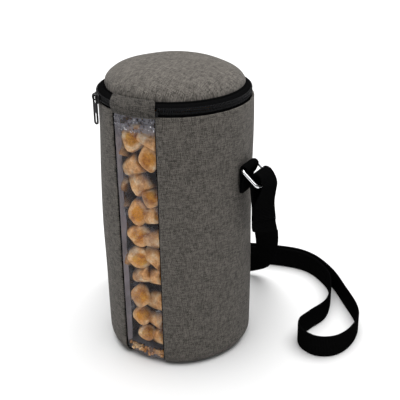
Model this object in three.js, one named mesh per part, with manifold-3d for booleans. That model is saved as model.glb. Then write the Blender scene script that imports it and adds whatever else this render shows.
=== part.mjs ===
// Treat pouch: a soft cylinder with a zipped lid on a fabric hinge, a clear window, and a webbing strap.
// Millimetres, +Z up, origin at the middle of the base. The window faces -Y.
// Angles round the pouch are in degrees from -Y towards +X.
import * as THREE from "three";
import { mergeVertices } from "three/addons/utils/BufferGeometryUtils.js";
import Module from "manifold-3d";

const wasm = await Module();
wasm.setup();

// Driving dimensions
const MOUTH_RADIUS = 62.5;
const BASE_RADIUS = 61.4;
const BASE_EDGE_RADIUS = 10.3;
const WALL_TOP = 218;
const WINDOW_HALF = 18;
const TURN_STEP = 9;
const GAP = 0.3;
const FABRIC = 1.2;
const FOAM = 2;
const LINING = 0.8;
const FILM = 0.5;

// Layers of the wall: where each starts and ends, and the window's sewn seams
const FOAM_BOTTOM = 13;
const FOAM_TOP = 211.5;
const LINING_BOTTOM = 6;
const LINING_TOP = 216.5;
const LINING_SET_BACK = 3;
const FILM_SEAT = 0.2;
const FILM_TOP = 217;
const SEAM_BOTTOM = 14;
const SEAM_TOP = 211;
const SEAM_THICKNESS = 0.8;
const SEAM_TURN = [-3, 2.5];
const BOARD_TOP = 3.6;
const BASE_LINING_TOP = 4.7;
const MOUTH_BINDING = [57.3, 58.9, 216.9, 218.1];
const LID_BINDING = [48.5, 51, 226.1, 227.1];

// Zip and lid hinge
const SPLIT_HEIGHT = 222.3;
const TAPE_GAP = 1.4;
const TAPE_RADIUS = 59.8;
const TAPE = 0.7;
const TAPE_BOTTOM = 212;
const TAPE_BEND = 1.2;
const COIL = 1.2;
const COIL_SET_BACK = 0.2;
const STOP_HEIGHT = 2.6;
const STOP_TURN = [18.2, 19];
const LID_RIM_RADIUS = 56.4;
const LID_RIM_HEIGHT = 227.9;
const LID_RISE = 19.1;
const LID_STEPS = 6;
const PATCH_HALF = 19.5;
const PATCH_RADIUS = 63.6;
const PATCH_BOTTOM = 216.8;
const PATCH = 0.8;
const PATCH_BEND = 2.6;
const ZIP_HALF = 18;
const COIL_HALF = 19.2;

// Slider
const SLIDER_ANGLE = -38;
const SLIDER_LENGTH = 10;
const SLIDER_PLATE = 1.2;
const SLIDER_OUTER = 62.8;
const SLIDER_INNER = 58.2;
const SLIDER_TOP = 226.6;
const SLIDER_BOTTOM = 217.8;
const SLIDER_INNER_TOP = 224.1;
const SLIDER_INNER_BOTTOM = 219.4;
const POST = 0.7;
const POST_LENGTH = 3;
const BRIDGE_HEIGHT = 223.7;
const BRIDGE_WIDTH = 1.6;
const BRIDGE_WIRE = 1.2;
const BRIDGE_REACH = 3;
const BRIDGE_HALF = 3.1;
const PULL_LENGTH = 24;
const PULL_WIDTH = 4.8;
const PULL = 1.3;
const PULL_PIVOT_OUT = 1.2;
const PULL_PIVOT_UP = 2.3;
const PULL_SLOT = [2.4, 5.3];
const PULL_CROSSBAR = 1.2;
const PULL_EYE = [2.4, 8.4];
const PULL_RIM = 1.2;

// Strap, tabs and rings
const TAB_ANGLE_RIGHT = 90;
const TAB_ANGLE_LEFT = -98;
const TAB_WIDTH = 20;
const TAB_BOTTOM = 147.5;
const LOOP_TURN = [-30, 210];
const LOOP_FOOT = 160;
const WEBBING = 1.5;
const STRAP_WIDTH = 20;
const STRAP_STEPS_PER_POINT = 2;
const RING_WIRE = 2.6;
const RING_INNER = [21.6, 15];
const RING_AXIS_RADIUS = 67;
const RING_LOOP = 2.3;
const RING_AXIS_HEIGHT = 168;
const RING_DROP_RIGHT = 40;
const RING_DROP_LEFT = 82;

// The strap from the right ring, down behind the pouch, out to the loop on the floor and back
// to the left ring. Each point is followed by the direction of the strap's width.
const FLOOR = STRAP_WIDTH / 2 + 2 * GAP;
const standing = (points) => points.map(([x, y]) => [x, y, FLOOR, 0, 0, -1]);
const STRAP_ROUTE = [
  [80.3, 0, 124, 0.71, 0.71, 0],
  [80.3, 0.3, 120, 0.74, 0.67, 0],
  [79, 5.5, 112.5, 0.82, 0.57, 0],
  [68.5, 30.5, 98.5, 0.87, 0.5, 0],
  [52.5, 67, 66, 0.87, 0.5, 0],
  [32.5, 104, 31, 0.7, 0.4, -0.6],
  [19.5, 115.5, 17, 0.35, 0.2, -0.92],
  [2, 112, 11.5, 0.1, 0, -1],
  ...standing([
    [-41, 91], [-68, 81], [-74.5, 87], [-52, 105], [-4, 131.5], [22.5, 143.2],
    [58, 147], [84.5, 131], [97, 115], [109, 75], [103.5, 49], [101, 32], [109, 19.5],
    [124, 14.5], [137, 21.5], [144, 38.5], [141.5, 69], [114, 106.5], [92.5, 130.5], [67, 148.6],
    [48, 153.2], [26.5, 149.8], [-6, 139.8], [-63, 116], [-84, 99],
  ]),
  [-94, 76, 12.5, -0.5, 0, -0.85],
  [-92.5, 54, 27, -0.95, -0.1, -0.3],
  [-87, 34, 54, -0.9, -0.4, 0],
  [-78.5, 21, 85, -0.6, -0.8, 0],
  [-71, 12.5, 105, -0.25, -0.97, 0],
  [-68.8, 9.8, 113, -0.14, -0.99, 0],
  [-68.7, 9.66, 118, -0.14, -0.99, 0],
];

// Each side's ring drop, its strap end's sections as [radius, height], and the strap end's twist
const SIDES = [
  {
    name: "right",
    angle: TAB_ANGLE_RIGHT,
    drop: RING_DROP_RIGHT,
    twist: -38,
    loop: [
      [79.3, 126], [77.8, 136], [75.6, 147], [74.3, 156], [74.4, 161.5], [76.4, 165.2],
      [79.8, 165.2], [83.4, 161.6], [85.6, 155], [84.8, 147], [81.3, 136], [81.2, 126.2],
    ],
  },
  {
    name: "left",
    angle: TAB_ANGLE_LEFT,
    drop: RING_DROP_LEFT,
    twist: 0,
    loop: [
      [68.4, 119], [66.8, 130], [66.1, 142], [66.2, 151], [69.4, 154.4],
      [72.9, 151], [72.7, 142], [71.4, 130], [70.3, 119.2],
    ],
  },
];

const COLOURS = {
  fabric: ["#6b655c", 0.95, 0],
  lining: ["#b9b7bd", 0.7, 0],
  film: ["#dfe6ea", 0.15, 0],
  webbing: ["#121214", 0.85, 0],
  black: ["#141416", 0.45, 0.1],
  chrome: ["#c8ccd2", 0.2, 1],
  foam: ["#d9d6cf", 1, 0],
  board: ["#5c5a57", 0.8, 0],
};

const rad = THREE.MathUtils.degToRad;

// A closed solid from a ring-shaped set of sections, each a list of points of equal length.
function skin(sections, closed) {
  const size = sections[0].length;
  const positions = sections.flat().flatMap((p) => [p.x, p.y, p.z]);
  const index = [];
  const last = closed ? sections.length : sections.length - 1;
  for (let i = 0; i < last; i++) {
    const a = i * size;
    const b = ((i + 1) % sections.length) * size;
    for (let j = 0; j < size; j++) {
      const k = (j + 1) % size;
      index.push(a + j, b + j, b + k, a + j, b + k, a + k);
    }
  }
  const geometry = new THREE.BufferGeometry();
  geometry.setAttribute("position", new THREE.Float32BufferAttribute(positions, 3));
  geometry.setIndex(index);
  return geometry;
}

// Closes the two ends of a skin whose section is the flat polygon (x, y).
function capEnds(geometry, polygon, sectionCount) {
  const faces = THREE.ShapeUtils.triangulateShape(polygon, []);
  const index = [...geometry.index.array];
  const end = (sectionCount - 1) * polygon.length;
  for (const [a, b, c] of faces) {
    index.push(a, b, c);
    index.push(end + a, end + c, end + b);
  }
  geometry.setIndex(index);
  return geometry;
}

function outwards(geometry) {
  const p = geometry.getAttribute("position");
  const index = geometry.index.array;
  let volume = 0;
  const [a, b, c] = [new THREE.Vector3(), new THREE.Vector3(), new THREE.Vector3()];
  for (let i = 0; i < index.length; i += 3) {
    a.fromBufferAttribute(p, index[i]);
    b.fromBufferAttribute(p, index[i + 1]);
    c.fromBufferAttribute(p, index[i + 2]);
    volume += a.dot(b.cross(c));
  }
  if (volume < 0) {
    for (let i = 0; i < index.length; i += 3) {
      [index[i + 1], index[i + 2]] = [index[i + 2], index[i + 1]];
    }
  }
  return geometry;
}

// A profile of [radius, height] points swept round the pouch's axis from one angle to another.
function sweep(points, from, to) {
  const flat = points.map(([r, z]) => new THREE.Vector2(r, z));
  const profile = THREE.ShapeUtils.isClockWise(flat) ? [...points].reverse() : points;
  const steps = Math.max(1, Math.round((to - from) / TURN_STEP));
  const whole = to - from === 360;
  const sections = [];
  for (let i = 0; i < (whole ? steps : steps + 1); i++) {
    const angle = rad(from + ((to - from) * i) / steps);
    const place = ([r, z]) => new THREE.Vector3(r * Math.sin(angle), -r * Math.cos(angle), z);
    sections.push(profile.map(place));
  }
  const geometry = skin(sections, whole);
  if (!whole) {
    capEnds(geometry, profile.map(([r, z]) => new THREE.Vector2(r, z)), steps + 1);
  }
  return outwards(geometry);
}

// A disc or dome: a profile that starts and ends on the axis.
function turned(profile) {
  const points = profile.map(([r, z]) => new THREE.Vector2(r, z));
  const geometry = new THREE.LatheGeometry(points, 360 / TURN_STEP);
  geometry.rotateX(Math.PI / 2);
  return outwards(merged(geometry));
}

function merged(geometry) {
  geometry.deleteAttribute("normal");
  geometry.deleteAttribute("uv");
  return mergeVertices(geometry, 1e-4);
}

function solid(geometry) {
  const clean = merged(geometry.clone());
  const vertProperties = clean.getAttribute("position").array;
  const triVerts = new Uint32Array(clean.index.array);
  return new wasm.Manifold(new wasm.Mesh({ numProp: 3, vertProperties, triVerts }));
}

function fromSolid(made) {
  const mesh = made.getMesh();
  const geometry = new THREE.BufferGeometry();
  geometry.setAttribute("position", new THREE.BufferAttribute(mesh.vertProperties, 3));
  geometry.setIndex(new THREE.BufferAttribute(mesh.triVerts, 1));
  return geometry;
}

function box(width, depth, height, x = 0, y = 0, z = 0) {
  return new THREE.BoxGeometry(width, depth, height).translate(x, y, z);
}

function extruded(outline, holes, depth) {
  const shape = new THREE.Shape(outline.map(([x, y]) => new THREE.Vector2(x, y)));
  shape.holes = holes.map((h) => new THREE.Path(h.map(([x, y]) => new THREE.Vector2(x, y))));
  return new THREE.ExtrudeGeometry(shape, { depth, bevelEnabled: false }).translate(0, 0, -depth / 2);
}

// A rectangle with rounded corners, as points.
function roundedRectangle(width, height, radius, perCorner = 3) {
  const points = [];
  const corners = [[1, -1, -90], [1, 1, 0], [-1, 1, 90], [-1, -1, 180]];
  for (const [sx, sy, start] of corners) {
    for (let i = 0; i <= perCorner; i++) {
      const angle = rad(start + (90 * i) / perCorner);
      const x = sx * (width / 2 - radius) + radius * Math.cos(angle);
      const y = sy * (height / 2 - radius) + radius * Math.sin(angle);
      points.push([x, y]);
    }
  }
  return points;
}

// The wall's section between two depths under its outer face, curled in under the base edge.
function wallProfile(outerDepth, innerDepth, top) {
  const centre = BASE_RADIUS - BASE_EDGE_RADIUS;
  const side = (depth) => {
    const points = [[MOUTH_RADIUS - depth, top]];
    for (const angle of [0, 30, 60, 90]) {
      const r = centre + (BASE_EDGE_RADIUS - depth) * Math.cos(rad(angle));
      const z = BASE_EDGE_RADIUS - (BASE_EDGE_RADIUS - depth) * Math.sin(rad(angle));
      points.push([r, z]);
    }
    return points;
  };
  return [...side(outerDepth), ...side(innerDepth).reverse()];
}

// A straight layer inside the wall, following its slight taper.
function layerProfile(depth, thickness, bottom, top) {
  const taper = MOUTH_RADIUS - BASE_RADIUS;
  const radius = (z) => BASE_RADIUS + (taper * z) / WALL_TOP - depth;
  return [
    [radius(bottom), bottom],
    [radius(top), top],
    [radius(top) - thickness, top],
    [radius(bottom) - thickness, bottom],
  ];
}

function wallParts() {
  const foamDepth = FABRIC + GAP;
  const liningDepth = foamDepth + FOAM + GAP;
  const inner = [WINDOW_HALF + LINING_SET_BACK, 360 - WINDOW_HALF - LINING_SET_BACK];
  const filmTurn = WINDOW_HALF - GAP;
  const filmProfile = wallProfile(FILM_SEAT, FILM_SEAT + FILM, FILM_TOP);
  const liningProfile = layerProfile(liningDepth, LINING, LINING_BOTTOM, LINING_TOP);
  const seamProfile = layerProfile(foamDepth, SEAM_THICKNESS, SEAM_BOTTOM, SEAM_TOP);
  const [near, far] = SEAM_TURN;
  return [
    part("wall_panel", sweep(wallProfile(0, FABRIC, WALL_TOP), WINDOW_HALF, 360 - WINDOW_HALF), "fabric"),
    part("wall_foam", sweep(layerProfile(foamDepth, FOAM, FOAM_BOTTOM, FOAM_TOP), ...inner), "foam"),
    part("wall_lining", sweep(liningProfile, ...inner), "lining"),
    part("window_film", sweep(filmProfile, -filmTurn, filmTurn), "film"),
    part("window_binding_left", sweep(seamProfile, -WINDOW_HALF - far, -WINDOW_HALF - near), "webbing"),
    part("window_binding_right", sweep(seamProfile, WINDOW_HALF + near, WINDOW_HALF + far), "webbing"),
  ];
}

// The profile of a short tube.
function tube(inner, outer, bottom, top) {
  return [[inner, bottom], [outer, bottom], [outer, top], [inner, top]];
}

function disc(radius, bottom, top) {
  return turned([[0, bottom], [radius, bottom], [radius, top], [0, top]]);
}

function baseParts() {
  const radius = BASE_RADIUS - BASE_EDGE_RADIUS - GAP;
  return [
    part("base_panel", disc(radius, 0, FABRIC), "fabric"),
    part("base_board", disc(radius, FABRIC + GAP, BOARD_TOP), "board"),
    part("base_lining", disc(radius + LINING_SET_BACK, BOARD_TOP + GAP, BASE_LINING_TOP), "lining"),
  ];
}

function zipParts() {
  const around = [ZIP_HALF, 360 - ZIP_HALF];
  const coilRound = [COIL_HALF, 360 - COIL_HALF];
  const outer = TAPE_RADIUS + TAPE / 2;
  const inner = TAPE_RADIUS - TAPE / 2;
  const lowerEdge = SPLIT_HEIGHT - TAPE_GAP / 2;
  const upperEdge = SPLIT_HEIGHT + TAPE_GAP / 2;
  const lowerTape = [[outer, lowerEdge], [inner, lowerEdge], [inner, TAPE_BOTTOM], [outer, TAPE_BOTTOM]];
  const upperTape = [
    [outer, upperEdge],
    [outer, upperEdge + TAPE_BEND],
    [LID_RIM_RADIUS + 0.4, LID_RIM_HEIGHT - GAP],
    [LID_RIM_RADIUS - 0.4, LID_RIM_HEIGHT - 3 * GAP],
    [inner, upperEdge + TAPE_BEND - GAP],
    [inner, upperEdge],
  ];
  const bead = (low, high) => {
    const r = outer + GAP;
    return [[r, low], [r + COIL, low], [r + COIL, high], [r, high]];
  };
  const lowerCoil = bead(lowerEdge - COIL_SET_BACK - COIL, lowerEdge - COIL_SET_BACK);
  const upperCoil = bead(upperEdge + COIL_SET_BACK, upperEdge + COIL_SET_BACK + COIL);
  const stop = bead(SPLIT_HEIGHT - STOP_HEIGHT, SPLIT_HEIGHT - GAP / 2);
  return {
    body: [
      part("zip_tape_lower", sweep(lowerTape, ...around), "webbing"),
      part("zip_coil_lower", sweep(lowerCoil, ...coilRound), "black"),
      part("zip_stop_start", sweep(stop, -STOP_TURN[1], -STOP_TURN[0]), "black"),
      part("zip_stop_end", sweep(stop, ...STOP_TURN), "black"),
    ],
    lid: [
      part("zip_tape_upper", sweep(upperTape, ...around), "webbing"),
      part("zip_coil_upper", sweep(upperCoil, ...coilRound), "black"),
    ],
  };
}

function dome(depth, thickness) {
  const side = (d) => {
    const points = [];
    for (let i = 0; i <= LID_STEPS; i++) {
      const angle = rad((90 * i) / LID_STEPS);
      const r = (LID_RIM_RADIUS - d) * Math.cos(angle);
      points.push([i === LID_STEPS ? 0 : r, LID_RIM_HEIGHT + (LID_RISE - d) * Math.sin(angle)]);
    }
    return points;
  };
  return turned([...side(depth).reverse(), ...side(depth + thickness)]);
}

function lidParts() {
  const foamDepth = FABRIC + GAP;
  const liningDepth = foamDepth + FOAM + GAP;
  return [
    part("lid_panel", dome(0, FABRIC), "fabric"),
    part("lid_foam", dome(foamDepth, FOAM), "foam"),
    part("lid_lining", dome(liningDepth, LINING), "lining"),
    part("lid_binding", sweep(tube(...LID_BINDING), 0, 360), "webbing"),
  ];
}

function mouthBinding() {
  const turn = WINDOW_HALF + LINING_SET_BACK;
  return part("mouth_binding", sweep(tube(...MOUTH_BINDING), turn, 360 - turn), "webbing");
}

function patchParts() {
  const outer = PATCH_RADIUS;
  const inner = PATCH_RADIUS - PATCH;
  const lower = tube(inner, outer, PATCH_BOTTOM, SPLIT_HEIGHT - GAP / 2);
  const upper = [
    [outer, SPLIT_HEIGHT + GAP / 2],
    [outer, SPLIT_HEIGHT + PATCH_BEND],
    [LID_RIM_RADIUS + 2 * PATCH, LID_RIM_HEIGHT + 1],
    [LID_RIM_RADIUS + PATCH, LID_RIM_HEIGHT + 1 - PATCH],
    [inner, SPLIT_HEIGHT + PATCH_BEND - GAP],
    [inner, SPLIT_HEIGHT + GAP / 2],
  ];
  return [
    part("hinge_patch_lower", sweep(lower, -PATCH_HALF, PATCH_HALF), "fabric"),
    part("hinge_patch_upper", sweep(upper, -PATCH_HALF, PATCH_HALF), "fabric"),
  ];
}

// Turns a geometry made facing -Y at the origin to face outwards at an angle round the pouch.
function faceOut(geometry, angle) {
  return geometry.rotateZ(rad(angle));
}

// Two plates joined by a post between the tapes, with a bridge on the front for the pull.
function sliderBody() {
  const plate = (r, low, high) =>
    box(SLIDER_LENGTH, SLIDER_PLATE, high - low, 0, -(r + SLIDER_PLATE / 2), (low + high) / 2);
  const postDepth = SLIDER_OUTER - SLIDER_INNER + SLIDER_PLATE;
  const middle = (SLIDER_OUTER + SLIDER_INNER) / 2;
  const front = -(SLIDER_OUTER + SLIDER_PLATE);
  const leg = (up) =>
    box(BRIDGE_WIDTH, BRIDGE_REACH, BRIDGE_WIRE, 0, front - SLIDER_PLATE, BRIDGE_HEIGHT + up);
  const legUp = BRIDGE_HALF - BRIDGE_WIRE / 2;
  const pieces = [
    plate(SLIDER_INNER - SLIDER_PLATE, SLIDER_INNER_BOTTOM, SLIDER_INNER_TOP),
    box(POST_LENGTH, postDepth, POST, 0, -middle, SPLIT_HEIGHT),
    leg(legUp),
    leg(-legUp),
    box(BRIDGE_WIDTH, BRIDGE_WIRE, 2 * BRIDGE_HALF, 0, front - BRIDGE_REACH, BRIDGE_HEIGHT),
  ];
  let made = solid(plate(SLIDER_OUTER, SLIDER_BOTTOM, SLIDER_TOP));
  for (const piece of pieces) {
    made = made.add(solid(piece));
  }
  return part("slider_body", faceOut(fromSolid(made), SLIDER_ANGLE), "black");
}

// A flat pull hanging from the bridge: a slot round the bridge at the top and an eye at the bottom.
function sliderPull() {
  const [slotWidth, slotLength] = PULL_SLOT;
  const top = PULL_CROSSBAR / 2;
  const outline = roundedRectangle(PULL_WIDTH, PULL_LENGTH, PULL_WIDTH / 2 - 0.05);
  const slot = roundedRectangle(slotWidth, slotLength, 0.4, 1);
  const eye = roundedRectangle(...PULL_EYE, 1.15);
  const shift = (points, up) => points.map(([x, y]) => [x, y + up]);
  const geometry = extruded(
    shift(outline, top - PULL_LENGTH / 2),
    [
      shift(slot, -top - slotLength / 2).reverse(),
      shift(eye, top - PULL_LENGTH + PULL_RIM + PULL_EYE[1] / 2).reverse(),
    ],
    PULL,
  );
  geometry.rotateX(Math.PI / 2);
  const y = -(SLIDER_OUTER + SLIDER_PLATE + PULL_PIVOT_OUT);
  geometry.translate(0, y, SPLIT_HEIGHT + PULL_PIVOT_UP);
  return part("slider_pull", faceOut(geometry, SLIDER_ANGLE), "black");
}

// A strip of webbing sewn flat to the wall, its top turned outwards into a loop round the ring.
function strapTab(side) {
  const flat = MOUTH_RADIUS + 2 * GAP;
  const loop = RING_LOOP;
  const steps = 6;
  const [start, turn] = LOOP_TURN;
  const outline = [[flat, TAB_BOTTOM], [flat + WEBBING, TAB_BOTTOM]];
  const centre = [RING_AXIS_RADIUS, RING_AXIS_HEIGHT];
  const inner = [];
  const outer = [];
  for (let i = 0; i <= steps; i++) {
    const angle = rad(start + (turn * i) / steps);
    inner.push([centre[0] + loop * Math.cos(angle), centre[1] + loop * Math.sin(angle)]);
    outer.push([
      centre[0] + (loop + WEBBING) * Math.cos(angle),
      centre[1] + (loop + WEBBING) * Math.sin(angle),
    ]);
  }
  outline.push([flat + WEBBING, LOOP_FOOT], ...inner.reverse(), ...outer);
  const geometry = extruded(outline, [], TAB_WIDTH);
  geometry.rotateX(Math.PI / 2);
  geometry.rotateZ(-Math.PI / 2);
  return part("strap_tab_" + side.name, faceOut(geometry, side.angle), "webbing");
}

// The ring hangs from the tab's loop; drop is its angle below level.
function ringFrame(side) {
  const frame = new THREE.Matrix4().makeTranslation(0, -RING_AXIS_RADIUS, RING_AXIS_HEIGHT);
  frame.multiply(new THREE.Matrix4().makeRotationX(rad(side.drop)));
  frame.premultiply(new THREE.Matrix4().makeRotationZ(rad(side.angle)));
  return frame;
}

function ring(side) {
  const [width, height] = RING_INNER;
  const outline = roundedRectangle(width + 2 * RING_WIRE, height + 2 * RING_WIRE, 3.6);
  const hole = roundedRectangle(width, height, 1.2);
  const geometry = extruded(outline, [hole.reverse()], RING_WIRE);
  geometry.translate(0, -(height + RING_WIRE) / 2, 0);
  geometry.applyMatrix4(ringFrame(side));
  return part("ring_" + side.name, geometry, "chrome");
}

// A flat strap along a smooth curve: each point is followed by the direction of the strap's width.
function ribbon(route) {
  const curve = new THREE.CatmullRomCurve3(route.map(([x, y, z]) => new THREE.Vector3(x, y, z)));
  const widths = route.map((p) => new THREE.Vector3(p[3], p[4], p[5]));
  const steps = (route.length - 1) * STRAP_STEPS_PER_POINT;
  const sections = [];
  for (let i = 0; i <= steps; i++) {
    const at = i / STRAP_STEPS_PER_POINT;
    const from = Math.min(Math.floor(at), route.length - 2);
    const along = curve.getTangent(i / steps);
    const across = widths[from].clone().lerp(widths[from + 1], at - from);
    across.addScaledVector(along, -across.dot(along)).normalize();
    const out = new THREE.Vector3().crossVectors(along, across).normalize();
    const corner = ([u, v]) => curve.getPoint(i / steps)
      .addScaledVector(across, (u * STRAP_WIDTH) / 2)
      .addScaledVector(out, (v * WEBBING) / 2);
    sections.push([[-1, -1], [1, -1], [1, 1], [-1, 1]].map(corner));
  }
  const square = [[-1, -1], [1, -1], [1, 1], [-1, 1]].map(([u, v]) => new THREE.Vector2(u, v));
  return outwards(capEnds(skin(sections, false), square, sections.length));
}

// The strap's end, folded over the ring's outer bar and sewn to itself below it. It twists on the
// way down, about its own middle line, by the side's twist.
function strapLoop(side) {
  const angle = rad(side.angle);
  const heights = side.loop.map(([, z]) => z);
  const top = Math.max(...heights);
  const bottom = Math.min(...heights);
  const middle = (side.loop[0][0] + side.loop.at(-1)[0]) / 2;
  const route = side.loop.map(([r, z]) => {
    const turn = angle + rad((side.twist * (top - z)) / (top - bottom));
    const x = middle * Math.sin(angle) + (r - middle) * Math.sin(turn);
    const y = -middle * Math.cos(angle) - (r - middle) * Math.cos(turn);
    return [x, y, z, Math.cos(turn), Math.sin(turn), 0];
  });
  return part("strap_loop_" + side.name, ribbon(route), "webbing");
}

function part(name, geometry, colour) {
  const [tint, roughness, metalness] = COLOURS[colour];
  const material = new THREE.MeshStandardMaterial({ color: tint, roughness, metalness });
  const mesh = new THREE.Mesh(geometry, material);
  mesh.name = name;
  return mesh;
}

const group = new THREE.Group();
const zip = zipParts();
group.add(
  ...wallParts(),
  ...baseParts(),
  mouthBinding(),
  ...zip.body,
  ...zip.lid,
  ...lidParts(),
  ...patchParts(),
  sliderBody(),
  sliderPull(),
  ...SIDES.map(strapTab),
  ...SIDES.map(ring),
  ...SIDES.map(strapLoop),
  part("strap", ribbon(STRAP_ROUTE), "webbing"),
);

export default group;
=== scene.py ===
"""Looks of the treat pouch: a soft zipped cylinder with a clear window, treats inside and a webbing strap.

Millimetres are used inside the helpers and metres in Blender. Angles round the pouch are in degrees
from -Y towards +X, as in the CAD model.
"""

import math
from contextlib import contextmanager

import bmesh
import bpy
import numpy as np
from mathutils import Matrix, Vector, noise


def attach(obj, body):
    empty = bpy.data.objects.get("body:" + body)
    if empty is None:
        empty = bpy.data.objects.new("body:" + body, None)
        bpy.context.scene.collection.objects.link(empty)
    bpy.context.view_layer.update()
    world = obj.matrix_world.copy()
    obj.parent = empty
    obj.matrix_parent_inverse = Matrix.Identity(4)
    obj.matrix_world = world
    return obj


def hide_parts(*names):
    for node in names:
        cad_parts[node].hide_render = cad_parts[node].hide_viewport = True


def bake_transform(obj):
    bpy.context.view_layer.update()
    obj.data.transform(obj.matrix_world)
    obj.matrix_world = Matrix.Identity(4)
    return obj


MM = 0.001
WEAVE = "Weave"

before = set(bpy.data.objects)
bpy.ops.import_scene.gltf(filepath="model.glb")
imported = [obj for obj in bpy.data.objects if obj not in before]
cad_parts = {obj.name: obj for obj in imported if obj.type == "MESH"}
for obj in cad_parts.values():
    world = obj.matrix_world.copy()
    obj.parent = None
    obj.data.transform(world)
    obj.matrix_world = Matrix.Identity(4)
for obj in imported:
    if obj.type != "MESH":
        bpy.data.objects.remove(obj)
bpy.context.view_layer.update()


# ---- dimensions, as in the CAD model

MOUTH_RADIUS = 62.5
BASE_RADIUS = 61.4
BASE_EDGE_RADIUS = 10.3
WALL_TOP = 218.0
WINDOW_HALF = 18.0
SPLIT_HEIGHT = 222.3
LID_RIM_RADIUS = 56.4
LID_RIM_HEIGHT = 227.9
LID_RISE = 19.1
ZIP_HALF = 18.0
COIL_RADIUS = 61.0
SLIDER_ANGLE = -38.0
TAB_ANGLE_RIGHT = 90.0
TAB_ANGLE_LEFT = -98.0
RING_AXIS = (67.0, 168.0)
STRAP_WIDTH = 20.0
WEBBING = 1.5
TREAT_LEVEL = 203.0


# ---- geometry helpers


def at(radius, angle, height):
    """A point from its distance to the pouch's axis, its angle and its height."""
    turn = math.radians(angle)
    return np.array([radius * math.sin(turn), -radius * math.cos(turn), height])


def rough(x, y, z=0.0):
    return noise.noise(Vector((x, y, z)))


LEFT = (-math.cos(math.radians(30)), -0.5)


def leftward(angle):
    """1 on the side where the slider rests, 0 across it and -1 on the side of the right ring."""
    turn = math.radians(angle)
    return math.sin(turn) * LEFT[0] - math.cos(turn) * LEFT[1]


def smooth(value, low, high):
    t = min(1.0, max(0.0, (value - low) / (high - low)))
    return t * t * (3 - 2 * t)


def new_object(name, mesh, *materials):
    piece = bpy.data.objects.new(name, mesh)
    bpy.context.scene.collection.objects.link(piece)
    for material in materials:
        mesh.materials.append(material)
    return piece


def shade_smooth(mesh):
    mesh.polygons.foreach_set("use_smooth", [True] * len(mesh.polygons))
    mesh.update()


def grid(name, points, uv, material, wrap_u=False, wrap_v=False, caps=False):
    """A quad surface through points[u][v] in mm. uv(i, j) gives the weave's coordinates in mm."""
    points = np.asarray(points, float)
    rows, columns = points.shape[:2]
    faces, loops = [], []
    for i in range(rows if wrap_u else rows - 1):
        for j in range(columns if wrap_v else columns - 1):
            i2, j2 = (i + 1) % rows, (j + 1) % columns
            faces.append((i * columns + j, i2 * columns + j, i2 * columns + j2, i * columns + j2))
            loops += [uv(i, j), uv(i + 1, j), uv(i + 1, j + 1), uv(i, j + 1)]
    if caps:
        for row, order in ((0, 1), (rows - 1, -1)):
            ring = [row * columns + j for j in range(columns)][::order]
            faces.append(tuple(ring))
            loops += [uv(row, j) for j in range(columns)][::order]
    mesh = bpy.data.meshes.new(name)
    mesh.from_pydata((points.reshape(-1, 3) * MM).tolist(), [], faces)
    layer = mesh.uv_layers.new(name=WEAVE)
    layer.data.foreach_set("uv", np.array(loops, float).ravel())
    shade_smooth(mesh)
    piece = new_object(name, mesh, material)
    with edited(mesh):
        pass
    return piece


@contextmanager
def edited(mesh):
    """The mesh as a bmesh, written back at the end with its faces turned outwards."""
    work = bmesh.new()
    work.from_mesh(mesh)
    yield work
    bmesh.ops.recalc_face_normals(work, faces=work.faces)
    work.to_mesh(mesh)
    work.free()


def joined(name, pieces, material):
    """One piece of one material from several objects, which are removed."""
    work = bmesh.new()
    for piece in pieces:
        work.from_mesh(piece.data)
        bpy.data.objects.remove(piece, do_unlink=True)
    mesh = bpy.data.meshes.new(name)
    work.to_mesh(mesh)
    work.free()
    return new_object(name, mesh, material)


def settle(piece, body, slot, *nodes):
    """Says which body carries a piece and which CAD nodes it stands for, and hides those nodes; the slot it
    is given is not used.
    """
    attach(piece, body)
    if nodes:
        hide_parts(*nodes)


def swept(name, profile, start, end, steps, material):
    """A closed profile of (radius, height) points turned part of the way round the pouch's axis."""
    around = [start + (end - start) * i / steps for i in range(steps + 1)]
    points = [[at(r, a, z) for r, z in profile] for a in around]
    run = [0.0]
    for (r0, z0), (r1, z1) in zip(profile, profile[1:] + profile[:1]):
        run.append(run[-1] + math.hypot(r1 - r0, z1 - z0))
    arc = math.radians(abs(end - start)) * MOUTH_RADIUS / steps
    return grid(name, points, lambda i, j: (i * arc, run[j]), material, wrap_v=True, caps=True)


def tube(name, path, radius, material, sides=8, closed=False):
    """A round wire along a path of points in mm."""
    path = [Vector(p) for p in path]
    count = len(path)
    rows = []
    normal = None
    for i, point in enumerate(path):
        ahead = path[(i + 1) % count] if closed or i + 1 < count else point
        behind = path[i - 1] if closed or i > 0 else point
        along = (ahead - behind).normalized()
        if normal is None:
            normal = along.orthogonal().normalized()
        normal = (normal - along * normal.dot(along)).normalized()
        side = along.cross(normal)
        turns = [2 * math.pi * k / sides for k in range(sides)]
        rows.append([point + (normal * math.cos(turn) + side * math.sin(turn)) * radius for turn in turns])
    step = (path[1] - path[0]).length
    return grid(name, rows, lambda i, j: (i * step, j * 0.5), material, closed, True, caps=not closed)


def spline(points, steps):
    """Points along a centripetal Catmull-Rom curve, evenly spread over its flat or solid control points."""
    points = np.array(points, float)
    last = len(points) - 1
    made = []
    for k in range(steps + 1):
        t = k / steps * last
        i = min(int(t), last - 1)
        w = t - i
        b, c = points[i], points[i + 1]
        a = points[i - 1] if i else 2 * b - c
        d = points[i + 2] if i + 2 <= last else 2 * c - b
        gaps = [float(np.linalg.norm(q[:3] - p[:3])) for p, q in ((a, b), (b, c), (c, d))]
        ab, bc, cd = (max(1e-4, gap**0.5) for gap in gaps)
        first = ((b - a) / ab - (c - a) / (ab + bc) + (c - b) / bc) * bc
        second = ((c - b) / bc - (d - b) / (bc + cd) + (d - c) / cd) * bc
        square = 3 * (c - b) - 2 * first - second
        cube = 2 * (b - c) + first + second
        made.append(b + first * w + square * w * w + cube * w**3)
    return np.array(made)


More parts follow.
